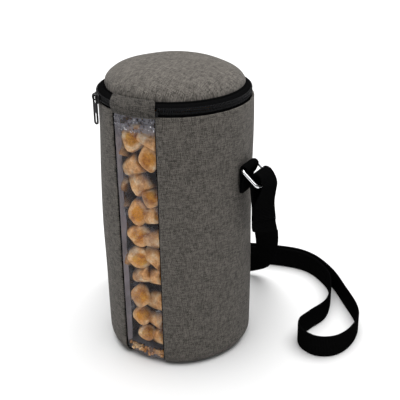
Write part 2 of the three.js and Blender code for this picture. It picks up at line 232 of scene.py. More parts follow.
def even(points, spacing):
    """The same polyline with its points a set distance apart."""
    points = np.asarray(points, float)
    run = np.concatenate([[0], np.cumsum(np.linalg.norm(np.diff(points[:, :3], axis=0), axis=1))])
    count = max(2, int(round(run[-1] / spacing)))
    marks = np.linspace(0, run[-1], count + 1)
    return np.stack([np.interp(marks, run, points[:, k]) for k in range(points.shape[1])], axis=1)


RIBBON_ACROSS = 12
SELVEDGE = 0.55
SELVEDGE_THINNESS = 0.35


def ribbon(name, route, width, thickness, material, spacing=2.0):
    """A woven strip along a route whose rows are x, y, z and the direction of its width."""
    line = even(route, spacing)
    rows = []
    last = len(line) - 1
    for i, row in enumerate(line):
        centre = Vector(row[:3])
        along = Vector(line[min(i + 1, last)][:3] - line[max(i - 1, 0)][:3]).normalized()
        across = Vector(row[3:])
        across = (across - along * across.dot(along)).normalized()
        out = along.cross(across).normalized()
        section = []
        for side in (1, -1):
            for k in range(RIBBON_ACROSS + 1):
                share = 1 - 2 * k / RIBBON_ACROSS
                edge = smooth(1 - abs(share), 0.0, SELVEDGE * 2 / width)
                lift = thickness / 2 * (SELVEDGE_THINNESS + (1 - SELVEDGE_THINNESS) * edge)
                section.append(centre + across * (side * share * width / 2) + out * (side * lift))
        rows.append(section)
    across_run = [width * k / RIBBON_ACROSS for k in range(RIBBON_ACROSS + 1)]
    columns = across_run + across_run[::-1] + [0.0]
    return grid(name, rows, lambda i, j: (columns[j], i * spacing), material, wrap_v=True, caps=True)


def upright_route(section, steps, angle):
    """A ribbon's route through points of (radius, height) that all lie at one angle."""
    across = at(1, angle + 90, 0)
    return [(*at(r, angle, z), *across) for r, z in spline(section, steps)]


CRISP_EDGE = math.radians(40)


def outline_plate(name, outline, holes, thickness, bevel, material, place):
    """A flat plate with rounded edges from its outline and holes in (x, y), set by the matrix place."""
    data = bpy.data.curves.new(name, "CURVE")
    data.dimensions = "2D"
    data.fill_mode = "BOTH"
    data.extrude = (thickness / 2 - bevel) * MM
    data.bevel_depth = bevel * MM
    data.bevel_resolution = 2
    data.offset = -bevel * MM
    for points in [outline, *holes]:
        line = data.splines.new("POLY")
        line.points.add(len(points) - 1)
        for knot, (x, y) in zip(line.points, points):
            knot.co = (x * MM, y * MM, 0, 1)
        line.use_cyclic_u = True
    holder = bpy.data.objects.new(name, data)
    bpy.context.scene.collection.objects.link(holder)
    bpy.context.view_layer.update()
    mesh = bpy.data.meshes.new_from_object(holder.evaluated_get(bpy.context.evaluated_depsgraph_get()))
    bpy.data.objects.remove(holder, do_unlink=True)
    mesh.materials.clear()
    mesh.transform(place)
    with edited(mesh) as work:
        bmesh.ops.remove_doubles(work, verts=work.verts, dist=1e-7)
    piece = new_object(name, mesh, material)
    layer = mesh.uv_layers.new(name=WEAVE)
    for loop in mesh.loops:
        corner = mesh.vertices[loop.vertex_index].co
        layer.data[loop.index].uv = (corner.x / MM, corner.z / MM)
    shade_smooth(mesh)
    with edited(mesh) as work:
        for edge in work.edges:
            if len(edge.link_faces) == 2 and edge.calc_face_angle(0) > CRISP_EDGE:
                edge.smooth = False
    return piece


def rounded_rectangle(width, height, radius, per_corner=6, up=0.0):
    points = []
    for sx, sy, start in ((1, -1, -90), (1, 1, 0), (-1, 1, 90), (-1, -1, 180)):
        for i in range(per_corner + 1):
            turn = math.radians(start + 90 * i / per_corner)
            x = sx * (width / 2 - radius) + radius * math.cos(turn)
            y = sy * (height / 2 - radius) + radius * math.sin(turn)
            points.append((x, y + up))
    return points


# ---- materials


class Look:
    """A material's node tree, with short calls for the nodes that the looks below use."""

    def __init__(self, name, **inputs):
        self.material = bpy.data.materials.new(name)
        self.material.use_nodes = True
        self.nodes = self.material.node_tree.nodes
        self.links = self.material.node_tree.links
        self.nodes.clear()
        self.output = self.nodes.new("ShaderNodeOutputMaterial")
        self.shader = self.nodes.new("ShaderNodeBsdfPrincipled")
        for key, value in inputs.items():
            self.shader.inputs[key.replace("_", " ")].default_value = value
        self.links.new(self.shader.outputs[0], self.output.inputs[0])

    def put(self, socket, value):
        if hasattr(value, "is_output"):
            self.links.new(value, socket)
        else:
            socket.default_value = value

    def math(self, operation, a, b=0.0, clamp=False):
        node = self.nodes.new("ShaderNodeMath")
        node.operation = operation
        node.use_clamp = clamp
        self.put(node.inputs[0], a)
        self.put(node.inputs[1], b)
        return node.outputs[0]

    def times(self, a, b):
        return self.math("MULTIPLY", a, b)

    def plus(self, a, b):
        return self.math("ADD", a, b)

    def weave(self):
        node = self.nodes.new("ShaderNodeUVMap")
        node.uv_map = WEAVE
        split = self.nodes.new("ShaderNodeSeparateXYZ")
        self.links.new(node.outputs[0], split.inputs[0])
        return split.outputs[0], split.outputs[1]

    def vector(self, x, y, z=0.0):
        node = self.nodes.new("ShaderNodeCombineXYZ")
        for socket, value in zip(node.inputs, (x, y, z)):
            self.put(socket, value)
        return node.outputs[0]

    def position(self):
        return self.nodes.new("ShaderNodeTexCoord").outputs["Object"]

    def noise(self, vector, scale, detail=2.0, roughness=0.5):
        node = self.nodes.new("ShaderNodeTexNoise")
        self.links.new(vector, node.inputs["Vector"])
        node.inputs["Scale"].default_value = scale
        node.inputs["Detail"].default_value = detail
        node.inputs["Roughness"].default_value = roughness
        return node.outputs["Fac"]

    def streaks(self, u, across, v, along, shift=0.0, detail=3.0, roughness=0.5):
        """Noise drawn out differently along u and v."""
        place = self.vector(self.times(u, across), self.times(v, along), shift)
        return self.noise(place, 1.0, detail, roughness)

    def ribs(self, run, pitch):
        return self.math("ABSOLUTE", self.math("SINE", self.times(run, math.pi / pitch)))

    def attribute(self, name):
        node = self.nodes.new("ShaderNodeAttribute")
        node.attribute_name = name
        return node.outputs["Fac"]

    def cells(self, vector, scale):
        node = self.nodes.new("ShaderNodeTexVoronoi")
        self.links.new(vector, node.inputs["Vector"])
        node.inputs["Scale"].default_value = scale
        return node.outputs["Distance"]

    def blend(self, factor, a, b):
        node = self.nodes.new("ShaderNodeMix")
        self.put(node.inputs[0], factor)
        self.put(node.inputs[2], a)
        self.put(node.inputs[3], b)
        return node.outputs[0]

    def blend_colour(self, factor, a, b):
        node = self.nodes.new("ShaderNodeMix")
        node.data_type = "RGBA"
        self.put(node.inputs[0], factor)
        self.put(node.inputs[6], a)
        self.put(node.inputs[7], b)
        return node.outputs[2]

    def ramp(self, factor, *stops):
        """Stops of (place, colour), where one number as a colour is a grey."""
        node = self.nodes.new("ShaderNodeValToRGB")
        self.links.new(factor, node.inputs[0])
        while len(node.color_ramp.elements) < len(stops):
            node.color_ramp.elements.new(0.5)
        for element, (place, colour) in zip(node.color_ramp.elements, stops):
            element.position = place
            element.color = (*np.broadcast_to(colour, 3), 1.0)
        return node.outputs[0]

    def scaled(self, factor, low, high):
        node = self.nodes.new("ShaderNodeMapRange")
        self.links.new(factor, node.inputs[0])
        node.inputs[3].default_value = low
        node.inputs[4].default_value = high
        return node.outputs[0]

    def bump(self, height, distance, strength=1.0, under=None):
        node = self.nodes.new("ShaderNodeBump")
        node.inputs["Distance"].default_value = distance * MM
        node.inputs["Strength"].default_value = strength
        self.links.new(height, node.inputs["Height"])
        if under is not None:
            self.links.new(under, node.inputs["Normal"])
        return node.outputs[0]

    def mix_shaders(self, factor, first, second):
        node = self.nodes.new("ShaderNodeMixShader")
        for k, value in enumerate((factor, first, second)):
            self.links.new(value, node.inputs[k])
        return node.outputs[0]

    def finish(self, colour=None, roughness=None, normal=None):
        for key, value in (("Base Color", colour), ("Roughness", roughness), ("Normal", normal)):
            if value is not None:
                self.links.new(value, self.shader.inputs[key])
        return self.material


def grey(value):
    return (value, value * 0.908, value * 0.8)


def heather_cloth(name, dark, light, pitch=0.66):
    """Plain-woven melange polyester: every yarn has its own slow change of shade along it."""
    look = Look(name, Sheen_Weight=0.06, Sheen_Roughness=0.6, Specular_IOR_Level=0.12)
    u, v = look.weave()
    warp = look.math("FLOOR", look.math("DIVIDE", u, pitch))
    weft = look.math("FLOOR", look.math("DIVIDE", v, pitch))
    over = look.times(look.math("FRACT", look.times(look.plus(warp, weft), 0.5)), 2.0)
    along_warp = look.streaks(warp, 7.31, v, 0.2)
    along_weft = look.streaks(u, 0.2, weft, 5.17, 4.0)
    yarn = look.blend(over, along_warp, along_weft)
    mottle = look.noise(look.vector(u, v), 1.1, 3.0, 0.65)
    shade = look.blend(0.12, yarn, mottle)
    colour = look.ramp(shade, (0.42, grey(dark)), (0.5, grey((dark + light) / 2)), (0.58, grey(light)))
    across_warp = look.ribs(u, pitch)
    normal = look.bump(look.blend(over, across_warp, look.ribs(v, pitch)), 0.16, 0.7)
    normal = look.bump(look.noise(look.vector(u, v), 0.12, 3.0), 0.5, 0.5, normal)
    return look.finish(colour, look.scaled(shade, 0.98, 0.82), normal)


def webbing(name, dark, light, rib, along=1):
    """Close ribs across a woven strip, with a fine twill in them. The colour is painted lighter on the rib
    tops and darker in the grooves, as painted light and shade, and varies at random with a wear noise.
    """
    look = Look(name, Specular_IOR_Level=0.0)
    pair = look.weave()
    run, side = pair[along], pair[1 - along]
    ribs = look.ribs(run, rib)
    twill = look.math("SINE", look.plus(look.times(side, 5.2), look.times(run, 2.6)))
    height = look.plus(ribs, look.times(twill, 0.18))
    wear = look.noise(look.vector(run, side), 0.4, 4.0, 0.6)
    # Painted light and shade: the ribs lighten the colour on their tops and darken it in their grooves.
    shade = look.plus(look.times(ribs, 0.6), look.times(wear, 0.5))
    colour = look.ramp(shade, (0.15, (dark, dark, dark * 1.05)), (0.95, (light, light, light * 1.04)))
    return look.finish(colour, look.scaled(wear, 0.5, 0.72), look.bump(height, 0.22, 0.8))


def satin(name, dark, light):
    """Thin silver-lilac lining with soft creases, which are painted lighter and darker along their folds as
    painted sheen and shade.
    """
    look = Look(name, Sheen_Weight=0.2, Sheen_Roughness=0.35, Specular_IOR_Level=0.5)
    u, v = look.weave()
    creases = look.streaks(u, 0.11, v, 0.05, 0.0, 4.0, 0.6)
    fine = look.math("SINE", look.times(look.plus(u, v), 9.0))
    # Painted sheen and shade: the colour follows the same creases that bend the surface.
    colour = look.ramp(creases, (0.3, dark), (0.7, light))
    normal = look.bump(creases, 1.4, 0.7, look.bump(fine, 0.05, 0.4))
    return look.finish(colour, look.scaled(creases, 0.42, 0.6), normal)


def moulded(name, dark, light, roughness, scale=900.0, depth=0.05, gloss=0.12):
    """Enamelled or moulded small hardware, slightly mottled and scuffed."""
    look = Look(name, Specular_IOR_Level=gloss)
    spots = look.noise(look.position(), scale, 4.0, 0.6)
    colour = look.ramp(spots, (0.3, dark), (0.75, light))
    rougher = look.scaled(spots, roughness, roughness + 0.16)
    return look.finish(colour, rougher, look.bump(spots, depth, 0.5))


def plated(name):
    """Bright nickel-chrome wire with hairline polish marks and a slightly duller side."""
    look = Look(name, Metallic=1.0)
    place = look.position()
    marks = look.noise(place, 1600.0, 3.0, 0.7)
    cloud = look.noise(place, 90.0, 3.0)
    colour = look.ramp(cloud, (0.25, (0.62, 0.63, 0.65)), (0.75, (0.86, 0.87, 0.88)))
    return look.finish(colour, look.scaled(cloud, 0.08, 0.2), look.bump(marks, 0.012, 0.6))


def clear_film(name):
    """Clear vinyl with glossy wrinkles and a painted reflection: a grey-lilac sheen with dark specks and
    white painted glints, laid where the film is creased near the mouth and in soft patches.
    """
    look = Look(name)
    look.nodes.remove(look.shader)
    u, v = look.weave()
    wrinkle = look.streaks(u, 0.16, v, 0.07, 0.0, 4.0, 0.55)
    fine = look.noise(look.vector(u, v), 0.5, 3.0, 0.6)
    normal = look.bump(wrinkle, 1.3, 0.6, look.bump(fine, 0.12, 0.35))
    gloss = look.nodes.new("ShaderNodeBsdfGlossy")
    gloss.inputs["Color"].default_value = (0.94, 0.94, 1.0, 1.0)
    look.links.new(look.scaled(fine, 0.04, 0.13), gloss.inputs["Roughness"])
    look.links.new(normal, gloss.inputs["Normal"])
    clear = look.nodes.new("ShaderNodeBsdfTransparent")
    clear.inputs["Color"].default_value = (0.98, 0.98, 0.985, 1.0)
    edge = look.nodes.new("ShaderNodeFresnel")
    edge.inputs["IOR"].default_value = 1.5
    look.links.new(normal, edge.inputs["Normal"])
    shine = look.math("MULTIPLY", edge.outputs[0], 0.42, clamp=True)
    glossed = look.mix_shaders(shine, clear.outputs[0], gloss.outputs[0])
    # Painted reflection: a diffuse grey-lilac sheen with dark specks and white painted glints, laid over the
    # clear film.
    painted_sheen_layer = look.nodes.new("ShaderNodeBsdfDiffuse")
    painted_glint_noise = look.noise(look.vector(u, v, 6.0), 0.45, 2.0, 0.5)
    painted_sheen_colour = look.ramp(
        painted_glint_noise,
        (0.34, (0.02, 0.02, 0.025)),
        (0.42, (0.17, 0.165, 0.185)),
        (0.64, (0.19, 0.185, 0.2)),
        (0.7, (0.85, 0.85, 0.88)),
    )
    look.links.new(painted_sheen_colour, painted_sheen_layer.inputs["Color"])
    look.links.new(normal, painted_sheen_layer.inputs["Normal"])
    # Where the painted sheen lies: a creased band near the mouth and soft patches over the window.
    near_mouth = look.ramp(look.math("DIVIDE", v, 60.0), (0.2, 1), (0.29, 0))
    puckers = look.streaks(u, 0.1, v, 0.22, 3.0)
    creased = look.ramp(puckers, (0.38, 0.1), (0.52, 1))
    painted_sheen_mask = look.times(look.times(near_mouth, creased), 0.8)
    patches = look.streaks(u, 0.09, v, 0.045, 9.0)
    painted_sheen_patches = look.ramp(patches, (0.5, 0), (0.6, 0.24))
    painted_sheen_mask = look.math("MAXIMUM", painted_sheen_mask, painted_sheen_patches)
    look.links.new(look.mix_shaders(painted_sheen_mask, glossed, painted_sheen_layer.outputs[0]), look.output.inputs[0])
    return look.material


def biscuit(name):
    """Pale baked dough round an orange, pitted filling, with painted shade in the pits and painted shade
    where it lies deep inside the pouch.

    The mesh's core attribute is 1 on the filling, and its outer attribute is 1 near the film or the top and 0
    where the treat is painted dark as shade.
    """
    look = Look(name, Specular_IOR_Level=0.25)
    core, outer = look.attribute("core"), look.attribute("outer")
    place = look.position()
    patches = look.noise(place, 150.0, 4.0, 0.6)
    grain = look.noise(place, 900.0, 3.0, 0.7)
    pits = look.cells(place, 620.0)
    dough = look.ramp(patches, (0.32, (0.5, 0.22, 0.06)), (0.5, (0.84, 0.48, 0.2)), (0.68, (1.0, 0.8, 0.52)))
    filling = look.ramp(
        patches, (0.32, (0.34, 0.1, 0.008)), (0.5, (0.7, 0.29, 0.022)), (0.7, (0.95, 0.52, 0.08))
    )
    colour = look.blend_colour(core, dough, filling)
    # Painted shade: the colour is darkened towards dark brown in the pits, where the bump is lowest.
    shaded_treat_colour = look.blend_colour(look.scaled(pits, 0.4, 0.0), colour, (0.26, 0.09, 0.02, 1.0))
    # Painted shade: where the outer attribute is low, deep inside the pouch, the colour is darkened almost to
    # black.
    shaded_treat_colour = look.blend_colour(outer, (0.035, 0.012, 0.004, 1.0), shaded_treat_colour)
    height = look.plus(look.times(grain, 0.6), look.times(pits, 0.8))
    return look.finish(shaded_treat_colour, look.scaled(grain, 0.62, 0.9), look.bump(height, 0.45, 0.8))


def cellular(name, dark, light):
    """Open-cell foam or board seen only at its edges, with painted shade darkening the pits of its cells."""
    look = Look(name)
    cells = look.cells(look.position(), 1400.0)
    # Painted shade: the colour is darkest in the pits of the cells, where the bump is lowest.
    return look.finish(look.ramp(cells, (0.1, dark), (0.7, light)), None, look.bump(cells, 0.2, 0.6))


NEAR_BLACK = (0.012, 0.012, 0.013)

CLOTH = heather_cloth("grey_cloth", 0.04, 0.14)
# Painted light: the lid takes a lighter copy of the same grey cloth, standing in for the overhead light on
# its top.
LID_CLOTH_PAINTED_LIGHTER = heather_cloth("grey_cloth_lid_painted_lighter", 0.05, 0.148)
PATCH_CLOTH = heather_cloth("grey_patch_cloth", 0.018, 0.086)
STRAP_WEB = webbing("black_webbing", 0.0003, 0.0042, 1.25)
TAPE_WEB = webbing("zip_tape_weave", 0.0012, 0.006, 0.7, along=0)
COIL_LOOK = moulded("nylon_coil", (0.004, 0.004, 0.0045), NEAR_BLACK, 0.32)
SLIDER_LOOK = moulded("black_enamel", (0.003, 0.003, 0.0035), NEAR_BLACK, 0.3, 700.0, 0.04, 0.14)
CHROME = plated("bright_plating")
FILM_LOOK = clear_film("clear_vinyl")
LINING_LOOK = satin("lilac_lining", (0.34, 0.33, 0.39), (0.56, 0.54, 0.62))
BISCUIT_LOOK = biscuit("baked_treat")
FOAM_LOOK = cellular("pale_foam", (0.42, 0.4, 0.36), (0.72, 0.7, 0.64))
BOARD_LOOK = cellular("base_board", (0.08, 0.075, 0.07), (0.16, 0.15, 0.14))


# ---- camera and strap

CAMERA_AZIMUTH = 30.0
CAMERA_PITCH = 24.1
CAMERA_DISTANCE = 0.703
CAMERA_TARGET = (0.0, 0.0, 0.120)
CAMERA_SHIFT_RIGHT = 0.0190
CAMERA_SHIFT_UP = 0.00416
CAMERA_ROLL = -0.85
CAMERA_LENS = 75.0


def make_camera():
    turn, pitch = math.radians(CAMERA_AZIMUTH), math.radians(CAMERA_PITCH)
    right = Vector((math.cos(turn), math.sin(turn), 0))
    forward = Vector((-math.sin(turn) * math.cos(pitch), math.cos(turn) * math.cos(pitch), -math.sin(pitch)))
    up = right.cross(forward)
    place = Vector(CAMERA_TARGET) - forward * CAMERA_DISTANCE
    place += right * CAMERA_SHIFT_RIGHT + up * CAMERA_SHIFT_UP
    facing = Matrix((right, up, -forward)).transposed() @ Matrix.Rotation(math.radians(CAMERA_ROLL), 3, "Z")
    data = bpy.data.cameras.new("camera")
    data.lens = CAMERA_LENS
    camera = bpy.data.objects.new("camera", data)
    camera.matrix_world = Matrix.Translation(place) @ facing.to_4x4()
    bpy.context.scene.collection.objects.link(camera)
    bpy.context.scene.camera = camera


make_camera()

STANDING = STRAP_WIDTH / 2 + 0.6


def standing(*points):
    """The strap on its edge on the floor."""
    return [(x, y, STANDING, 0, 0, -1) for x, y in points]


STRAP_ROUTE = [
    (80.3, 0, 124, 0.71, 0.71, 0),
    (80.3, 0.3, 120, 0.74, 0.67, 0),
    (79, 5.5, 112.5, 0.82, 0.57, 0),
    (68.5, 30.5, 98.5, 0.87, 0.5, 0),
    (52.5, 67, 66, 0.87, 0.5, 0),
    (32.5, 104, 31, 0.7, 0.4, -0.6),
    (19.5, 115.5, 17, 0.35, 0.2, -0.92),
    (2, 112, 11.5, 0.1, 0, -1),
    *standing(
        (-41, 91), (-68, 81), (-74.5, 87), (-52, 105), (-4, 131.5), (22.5, 143.2),
        (58, 147), (84.5, 131), (97, 115), (109, 75), (103.5, 49), (101, 32), (109, 19.5),
        (124, 14.5), (137, 21.5), (144, 38.5), (141.5, 69), (114, 106.5), (92.5, 130.5), (67, 148.6),
        (48, 153.2), (26.5, 149.8), (-6, 139.8), (-63, 116), (-84, 99),
    ),
    (-94, 76, 12.5, -0.5, 0, -0.85),
    (-92.5, 54, 27, -0.95, -0.1, -0.3),
    (-87, 34, 54, -0.9, -0.4, 0),
    (-78.5, 21, 85, -0.6, -0.8, 0),
    (-71, 12.5, 105, -0.25, -0.97, 0),
    (-68.8, 9.8, 113, -0.14, -0.99, 0),
    (-68.7, 9.66, 118, -0.14, -0.99, 0),
]


# The strap runs on up between the two layers of each folded end, where it is sewn
SEWN_RIGHT = [(79.7, 0, 134, 0.6, 0.8, 0), (80.0, 0, 129, 0.66, 0.75, 0)]
SEWN_LEFT = [(-68.6, 9.64, 122, -0.14, -0.99, 0), (-68.5, 9.63, 127, -0.14, -0.99, 0)]


def strap_line():
    """The route with its width direction turned evenly between the control points."""
    centre = spline([row[:3] for row in STRAP_ROUTE], 900)
    last = len(STRAP_ROUTE) - 1
    widths = np.array([row[3:] for row in STRAP_ROUTE], float)
    marks = np.linspace(0, last, 901)
    turned = np.stack([np.interp(marks, range(last + 1), widths[:, k]) for k in range(3)], axis=1)
    return np.vstack([SEWN_RIGHT, np.hstack([centre, turned]), SEWN_LEFT])


def loop_route(angle, twist, section):
    """The strap's folded end over the ring's outer bar, from (radius, height) points."""
    heights = [z for _, z in section]
    top, bottom = max(heights), min(heights)
    middle = (section[0][0] + section[-1][0]) / 2
    rows = []
    for r, z in spline(section, 90):
        turn = math.radians(angle + twist * (top - z) / (top - bottom))
        base = math.radians(angle)
        x = middle * math.sin(base) + (r - middle) * math.sin(turn)
        y = -middle * math.cos(base) - (r - middle) * math.cos(turn)
        rows.append((x, y, z, math.cos(turn), math.sin(turn), 0))
    return rows


LOOP_RIGHT = [
    (79.4, 124), (77.8, 136), (75.4, 147), (73.8, 156.5), (73.8, 162.5), (76.2, 166.4),
    (79.8, 166.0), (83.4, 161.6), (85.4, 155.5), (83.8, 148.5), (80.6, 137), (81.3, 124.2),
]
LOOP_LEFT = [
    (67.9, 118), (66.8, 130), (66.1, 142), (66.2, 151), (69.4, 154.4),
    (72.9, 151), (72.7, 142), (71.4, 130), (70.9, 118.2),
]

line = strap_line()
strap = ribbon("strap_webbing", line, STRAP_WIDTH, WEBBING, STRAP_WEB)
settle(strap, "root", "webbing", "strap")
for side, angle, twist, section, body in (
    ("right", TAB_ANGLE_RIGHT, -42.0, LOOP_RIGHT, "right_ring"),
    ("left", TAB_ANGLE_LEFT, 0.0, LOOP_LEFT, "left_ring"),
):
    end = ribbon("strap_end_" + side, loop_route(angle, twist, section), STRAP_WIDTH, WEBBING, STRAP_WEB, 1.5)
    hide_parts("strap_loop_" + side)
    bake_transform(end)


# ---- the pouch's wall


def wall_radius(height):
    return BASE_RADIUS + (MOUTH_RADIUS - BASE_RADIUS) * height / WALL_TOP


def wall_swell(angle, height):
    """How far the soft wall stands off its true shape, in mm."""
    turn = math.radians(angle)
    x, y = math.sin(turn), -math.cos(turn)
    swell = 0.55 * rough(x * 1.7, y * 1.7, height * 0.011)
    swell += 0.3 * rough(x * 5.0, y * 5.0, height * 0.018 + 7)
    from_top = WALL_TOP - height
    swell += 0.5 * math.exp(-from_top / 7) * rough(x * 13, y * 13, height * 0.05)
    from_edge = (abs((angle + 180) % 360 - 180) - WINDOW_HALF) * math.radians(MOUTH_RADIUS)
    if from_edge > 0:
        swell += 0.35 * math.exp(-from_edge / 5) * rough(height * 0.09, 3.0, angle)
    seam = abs(angle % 360 - 180) * math.radians(MOUTH_RADIUS)
    swell -= 0.45 * math.exp(-((seam / 0.9) ** 2))
    return swell + wall_lean(angle, height)


def wall_lean(angle, height):
    """How far every layer of the wall sinks in or bulges out together, in mm."""
    from_edge = (abs((angle + 180) % 360 - 180) - WINDOW_HALF) * math.radians(MOUTH_RADIUS)
    left, clear = leftward(angle), smooth(from_edge, 0, 25)
    if left < 0:
        return 0.9 * left**2 * math.exp(-(((height - 200) / 30) ** 2))
    sunk = 2.2 * math.exp(-(((height - 204) / 36) ** 2))
    bulge = 1.2 * math.exp(-(((height - 115) / 45) ** 2))
    return left**2 * clear * (bulge - sunk)


def wall_point(angle, along, depth, swell=True):
    """A point of the wall: along runs down from the mouth, round the base edge and in under it."""
    off = wall_swell(angle, max(0.0, WALL_TOP - along)) if swell else 0.0
    straight = WALL_TOP - BASE_EDGE_RADIUS
    centre = BASE_RADIUS - BASE_EDGE_RADIUS
    arc = BASE_EDGE_RADIUS * math.pi / 2
    if along <= straight:
        height = WALL_TOP - along
        return at(wall_radius(height) + off - depth, angle, height)
    if along <= straight + arc:
        turn = (along - straight) / BASE_EDGE_RADIUS
        fade = off * (1 - turn / (math.pi / 2)) - depth
        reach = BASE_EDGE_RADIUS + fade
        return at(centre + reach * math.cos(turn), angle, BASE_EDGE_RADIUS - reach * math.sin(turn))
    return at(centre - (along - straight - arc), angle, depth)


FOLD = 0.9
HEM = 8.0


def folded_stations(length, step, end=True):
    """Distances along a cloth, as (place, depth), with its first edge and maybe its last rolled under."""
    curl = [(FOLD * (1 - math.sin(t)), FOLD * (1 - math.cos(t))) for t in np.radians(range(0, 181, 30))]
    inside = [(HEM, 2 * FOLD), (HEM / 2, 2 * FOLD)]
    last = length - FOLD if end else length
    count = max(1, int(round((last - FOLD) / step)))
    stations = inside + curl[:0:-1] + [(FOLD + (last - FOLD) * i / count, 0.0) for i in range(count + 1)]
    if end:
        stations += [(length - place, depth) for place, depth in curl[1:] + inside[::-1]]
    return stations


WALL_LENGTH = WALL_TOP - BASE_EDGE_RADIUS + BASE_EDGE_RADIUS * math.pi / 2


def make_wall():
    round_length = math.radians(360 - 2 * WINDOW_HALF) * MOUTH_RADIUS
    across = folded_stations(round_length, 2.2)
    down = folded_stations(WALL_LENGTH + 0.3, 2.4, end=False)
    points = []
    for run, inner in across:
        angle = WINDOW_HALF + math.degrees(run / MOUTH_RADIUS)
        points.append([wall_point(angle, along, max(inner, depth)) for along, depth in down])

    def weave(i, j):
        return (across[i][0] - across[i][1], down[j][0] + down[j][1])

    wall = grid("wall_cloth", points, weave, CLOTH)
    settle(wall, "root", "grey_fabric", "wall_panel")


def make_base():
    radius = BASE_RADIUS - BASE_EDGE_RADIUS - 0.2
    rings = [radius * k / 26 for k in range(1, 27)]
    points = []
    for r in rings:
        row = []
        for k in range(96):
            angle = 360 * k / 96
            place = at(r, angle, 0)
            lift = 0.25 + 0.15 * rough(place[0] * 0.05, place[1] * 0.05, 2.0)
            lift += 0.9 * smooth(r, radius - 1.6, radius)
            row.append(at(r, angle, lift))
        points.append(row)
    base = grid("base_cloth", points, flat_weave(points), CLOTH, wrap_v=True)
    close_middle(base, 96, 0.25)
    settle(base, "root", "grey_fabric", "base_panel")


def flat_weave(points):
    """For grid: the weave's coordinates of a surface as it is seen from above."""
    return lambda i, j: tuple(points[i % len(points)][j % len(points[0])][:2])


def close_middle(piece, count, height, lean=0.0):
    """Closes the small hole at the middle of a surface made of rings, from its first ring."""
    with edited(piece.data) as work:
        work.verts.ensure_lookup_table()
        ring = [work.verts[k] for k in range(count)]
        layer = work.loops.layers.uv[WEAVE]
        middle = work.verts.new((LEFT[0] * lean * MM, LEFT[1] * lean * MM, height * MM))
        for k in range(count):
            face = work.faces.new((ring[k], ring[(k + 1) % count], middle))
            face.smooth = True
            for loop in face.loops:
                loop[layer].uv = (loop.vert.co.x / MM, loop.vert.co.y / MM)


make_wall()
make_base()


# ---- window, lining and inner parts


FILM_OVERLAP = 2.0
FILM_DEPTH = 1.2
FILM_ROWS = 150
FILM_COLUMNS = 44
SEAM_DEPTH = 1.35
SEAM_RADIUS = 0.55


def make_window():
    half = WINDOW_HALF + FILM_OVERLAP
    down = [FOLD + (WALL_LENGTH - 1.2) * k / FILM_ROWS for k in range(FILM_ROWS + 1)]
    points = []
    for i in range(FILM_COLUMNS + 1):
        angle = -half + 2 * half * i / FILM_COLUMNS
        free = 1 - (abs(angle) / half) ** 4
        row = []
        for along in down:
            wrinkle = 0.55 * rough(angle * 0.16, along * 0.035, 1.0)
            wrinkle += 0.3 * rough(angle * 0.4, along * 0.09, 5.0)
            wrinkle += 0.7 * math.exp(-along / 9) * rough(angle * 0.35, along * 0.12, 9.0)
            row.append(wall_point(angle, along, FILM_DEPTH + wrinkle * free, swell=False))
        points.append(row)
    arc = math.radians(2 * half) * MOUTH_RADIUS / FILM_COLUMNS
    film = grid("window_clear", points, lambda i, j: (i * arc, down[j]), FILM_LOOK)
    settle(film, "root", "film", "window_film")
    for side, sign in (("left", -1), ("right", 1)):
        edge = sign * (WINDOW_HALF - 0.25)
        seam = []
        for along in down:
            angle = edge + sign * 0.15 * rough(along * 0.1, sign)
            seam.append(wall_point(angle, along, SEAM_DEPTH, swell=False))
        bead = tube("window_seam_" + side, seam, SEAM_RADIUS, TAPE_WEB)
        settle(bead, "root", "black_tape", "window_binding_" + side)


LINING_DEPTH = 4.4
LINING_FLOOR = 4.9


def lining_stations():
    """Angles and depths round the inside: the wall between two folds, one beside each window edge."""
    fold = [(20.0, 8.6 - 6.9 * k / 10) for k in range(11)] + [(21.2, 1.9), (22.2, 3.4)]
    wall = [(23.0 + 314.0 * k / 120, LINING_DEPTH) for k in range(121)]
    return fold + wall + [(360 - angle, depth) for angle, depth in fold[::-1]]


def make_lining():
    down = [1.2 + 206.0 * k / 80 for k in range(81)]
    points, run = [], []
    for angle, depth in lining_stations():
        row = []
        for along in down:
            height = WALL_TOP - along
            wave = 0.5 * rough(angle * 0.09, height * 0.03, 11.0)
            wave += 0.35 * rough(angle * 0.3, height * 0.08, 4.0)
            sway = 1.6 * rough(height * 0.045, 8.0, 1.0) * (depth - 2) / 10 if depth > LINING_DEPTH else 0
            stand = wall_radius(height) + wall_lean(angle, height) - depth
            row.append(at(stand + wave * (0.3 if depth < 3 else 1.0), angle + sway, height))
        run.append(run[-1] + float(np.linalg.norm(row[0] - points[-1][0])) if run else 0.0)
        points.append(row)
    lining = grid("wall_lining_cloth", points, lambda i, j: (run[i], down[j]), LINING_LOOK)
    settle(lining, "root", "lining", "wall_lining")


def make_inner_floor():
    rings, around = 14, 72
    points = []
    for k in range(1, rings + 1):
        heights = [LINING_FLOOR + 0.25 * rough(k * 0.5, j * 0.3) for j in range(around)]
        points.append([at(56.3 * k / rings, 360 * j / around, z) for j, z in enumerate(heights)])
    floor = grid("base_lining_cloth", points, flat_weave(points), LINING_LOOK, wrap_v=True)
    close_middle(floor, around, LINING_FLOOR)
    settle(floor, "root", "lining", "base_lining")


def make_wall_foam():
    around = [WINDOW_HALF + 3.5 + (353 - 2 * WINDOW_HALF) * k / 140 for k in range(141)]
    down = [7.0 + 196.0 * k / 50 for k in range(51)]
    section = [(2.0, along) for along in down] + [(3.4, along) for along in down[::-1]]
    rows = [[wall_point(angle, along, depth) for depth, along in section] for angle in around]
    foam = grid("wall_padding", rows, lambda i, j: (i * 2.4, j * 3.9), FOAM_LOOK, wrap_v=True, caps=True)
    settle(foam, "root", "foam", "wall_foam")


make_window()
make_lining()
make_inner_floor()
make_wall_foam()


# ---- lid


LID_LEAN = 4.4
LID_THICKNESS = 4.3


